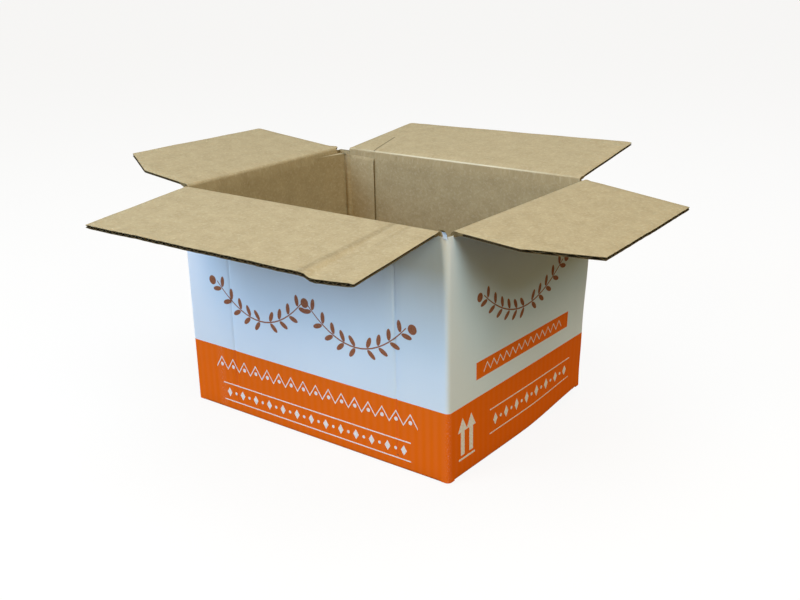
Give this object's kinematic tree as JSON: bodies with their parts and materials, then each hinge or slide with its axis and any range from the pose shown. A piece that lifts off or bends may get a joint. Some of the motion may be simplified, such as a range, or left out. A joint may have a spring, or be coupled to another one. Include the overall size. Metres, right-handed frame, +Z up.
{
  "type": "cardboard box",
  "caption": "Open slotted shipping case of corrugated board with a glued bottom and hinged top flaps folded outwards.",
  "frame": {"origin": "middle of the underside, where the case stands", "axes": "+X along the case's length, +Y from the printed front panel to the back panel, +Z up"},
  "size_m": [0.4228, 0.3628, 0.1798],
  "materials": {
    "board": "matte",
    "hot_melt": "satin"
  },
  "bodies": {
    "case": {"case_body": "board", "tab_glue": "hot_melt", "floor_glue": "hot_melt"},
    "front_flap_body": {"front_flap": "board"},
    "back_flap_body": {"back_flap": "board"},
    "left_flap_body": {"left_flap": "board"},
    "right_flap_body": {"right_flap": "board"}
  },
  "joints": [
    {"name": "front_flap_fold", "type": "hinge", "parent": "case", "child": "front_flap_body", "pos_m": [0, -0.091, 0.17], "axis": [-1, 0, 0], "range_deg": [-84, 185]},
    {"name": "back_flap_fold", "type": "hinge", "parent": "case", "child": "back_flap_body", "pos_m": [0, 0.091, 0.17], "axis": [1, 0, 0], "range_deg": [-93, 175.7]},
    {"name": "left_flap_fold", "type": "hinge", "parent": "case", "child": "left_flap_body", "pos_m": [-0.121, 0, 0.16835], "axis": [0, 1, 0], "range_deg": [-93, 175.7]},
    {"name": "right_flap_fold", "type": "hinge", "parent": "case", "child": "right_flap_body", "pos_m": [0.121, 0, 0.16835], "axis": [0, -1, 0], "range_deg": [-83, 186]}
  ]
}
